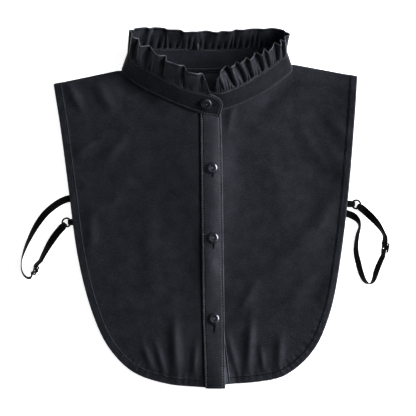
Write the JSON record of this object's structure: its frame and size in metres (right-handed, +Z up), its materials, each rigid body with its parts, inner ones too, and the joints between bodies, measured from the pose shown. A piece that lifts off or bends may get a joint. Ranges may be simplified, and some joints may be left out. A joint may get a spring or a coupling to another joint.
{
  "type": "detachable ruffled collar with a buttoned bib",
  "caption": "False-shirt collar: a stand-up band with a gathered ruffle on a buttoned bib of two fronts and a back, with an adjustable elastic strap at each side.",
  "frame": {"origin": "on the surface that it lies on, under the middle of the bib", "axes": "+Z up off the surface and out of the fronts, +Y towards the collar, +X towards the wearer's left side"},
  "size_m": [0.3682, 0.3591, 0.0377],
  "materials": {
    "cloth": "matt woven crepe, black with a slight blue cast",
    "buttons": "polished black",
    "elastic": "satin woven elastic",
    "hardware": "black coated, semi-gloss"
  },
  "bodies": {
    "root": {"back_panel": "cloth", "front_left": "cloth", "front_right": "cloth", "under_placket": "cloth", "button_placket": "cloth", "collar_band": "cloth", "collar_ruffle": "cloth", "left_tab": "cloth", "right_tab": "cloth", "collar_button": "buttons", "placket_button_upper": "buttons", "placket_button_middle": "buttons", "placket_button_lower": "buttons", "left_strap": "elastic", "right_strap": "elastic", "left_ring": "hardware", "right_ring": "hardware", "left_slider": "hardware", "right_slider": "hardware"}
  },
  "joints": []
}
